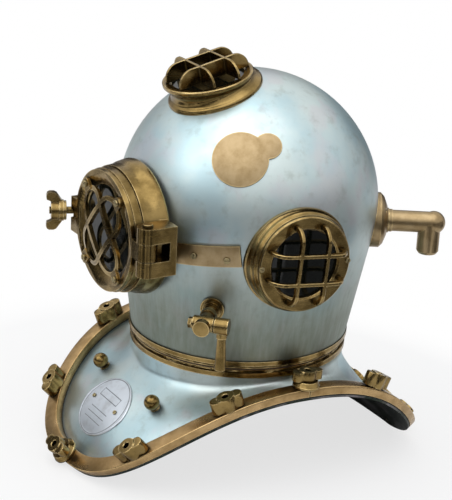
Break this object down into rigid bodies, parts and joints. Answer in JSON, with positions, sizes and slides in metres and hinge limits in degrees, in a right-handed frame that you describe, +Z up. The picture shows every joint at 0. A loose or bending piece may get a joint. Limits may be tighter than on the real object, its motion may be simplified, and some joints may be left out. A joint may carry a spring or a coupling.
{
  "type": "diving helmet",
  "caption": "Surface-supplied diving helmet: spun metal bonnet with guarded ports, hinged face door and valves, turning on a saddle-shaped breastplate.",
  "frame": {"origin": "middle of the footprint, on the surface that the breastplate stands on", "axes": "+Z up, -Y to the front where the face port is, +X to the wearer's left"},
  "size_m": [0.3614, 0.4658, 0.4637],
  "materials": {
    "tinned_metal": "satin brushed tinned metal with a patchy grey bloom",
    "aged_brass": "aged cast brass, dark in the recesses, rubbed bright on the edges",
    "bright_brass": "lighter brushed brass",
    "brail_brass": "worn tan brass",
    "port_glass": "thick dark port glass",
    "rubber_seal": "matt black rubber",
    "leather_washer": "oiled dark leather",
    "nameplate_metal": "pale brushed plate",
    "steel_screws": "slotted screw heads, worn"
  },
  "bodies": {
    "breastplate": {"breastplate_shell": "tinned_metal", "breastplate_neck_ring": "aged_brass", "neck_gasket": "leather_washer", "collar_gasket": "rubber_seal", "brail_front_left": "brail_brass", "brail_front_right": "brail_brass", "brail_rear_left": "brail_brass", "brail_rear_right": "brail_brass", "rim_studs": "aged_brass", "plain_nuts": "aged_brass", "flanged_nuts": "aged_brass", "lanyard_studs": "aged_brass", "nameplate": "nameplate_metal", "nameplate_screws": "steel_screws"},
    "door": {"door_frame": "aged_brass", "door_glass": "port_glass", "door_glass_ring": "aged_brass", "door_guard": "aged_brass", "door_guard_screws": "steel_screws"},
    "swing_bolt": {"swing_bolt": "aged_brass"},
    "bolt_washer": {"bolt_washer": "aged_brass"},
    "wing_nut": {"wing_nut": "aged_brass"},
    "spitcock_lever": {"spitcock_plug": "aged_brass", "spitcock_nut": "aged_brass"},
    "exhaust_wheel": {"exhaust_wheel": "aged_brass"},
    "bonnet": {"bonnet_shell": "tinned_metal", "bonnet_neck_ring": "aged_brass", "bonnet_plate": "bright_brass", "port_straps": "bright_brass", "strap_screws": "steel_screws", "face_port_housing": "aged_brass", "face_port_gasket": "rubber_seal", "door_hinge_pin": "aged_brass", "bolt_pivot_pin": "aged_brass", "side_port_left": "aged_brass", "side_glass_left": "port_glass", "side_face_left": "aged_brass", "side_guard_left": "aged_brass", "side_screws_left": "steel_screws", "side_port_right": "aged_brass", "side_glass_right": "port_glass", "side_face_right": "aged_brass", "side_guard_right": "aged_brass", "side_screws_right": "steel_screws", "top_port": "aged_brass", "top_glass": "port_glass", "top_guard": "aged_brass", "spitcock_body": "aged_brass", "air_elbow": "bright_brass", "elbow_flange": "bright_brass", "exhaust_body": "aged_brass", "exhaust_cover": "aged_brass"}
  },
  "joints": [
    {"name": "bonnet_turn", "type": "hinge", "parent": "breastplate", "child": "bonnet", "pos_m": [0, 0, 0.128], "axis": [0, -0.0488, 0.9988], "range_deg": [0, 45]},
    {"name": "door_hinge", "type": "hinge", "parent": "bonnet", "child": "door", "pos_m": [0.08, -0.17328, 0.27271], "axis": [0, -0.0488, 0.9988], "range_deg": [0, 110]},
    {"name": "bolt_swing", "type": "hinge", "parent": "bonnet", "child": "swing_bolt", "pos_m": [-0.078, -0.15595, 0.26655], "axis": [0, -0.0488, 0.9988], "range_deg": [-60, 22.5]},
    {"name": "washer_slide", "type": "slide", "parent": "swing_bolt", "child": "bolt_washer", "axis": [-0.3827, -0.9228, -0.0451], "range_m": [-0.002, 0.006]},
    {"name": "wing_nut_turn", "type": "hinge", "parent": "bolt_washer", "child": "wing_nut", "pos_m": [-0.09331, -0.19287, 0.26474], "axis": [-0.3827, -0.9228, -0.0451], "range_deg": [-360, 1080]},
    {"name": "spitcock_turn", "type": "hinge", "parent": "bonnet", "child": "spitcock_lever", "pos_m": [0.12311, -0.12263, 0.20161], "axis": [-0.6947, -0.7185, -0.0351], "range_deg": [0, 90]},
    {"name": "exhaust_turn", "type": "hinge", "parent": "bonnet", "child": "exhaust_wheel", "pos_m": [-0.13314, 0.07841, 0.22795], "axis": [-0.848, 0.5293, 0.0259], "range_deg": [0, 540]}
  ],
  "couplings": [
    {"joint": "wing_nut_turn", "follows": "washer_slide", "rad_per_m": 3141.6}
  ]
}
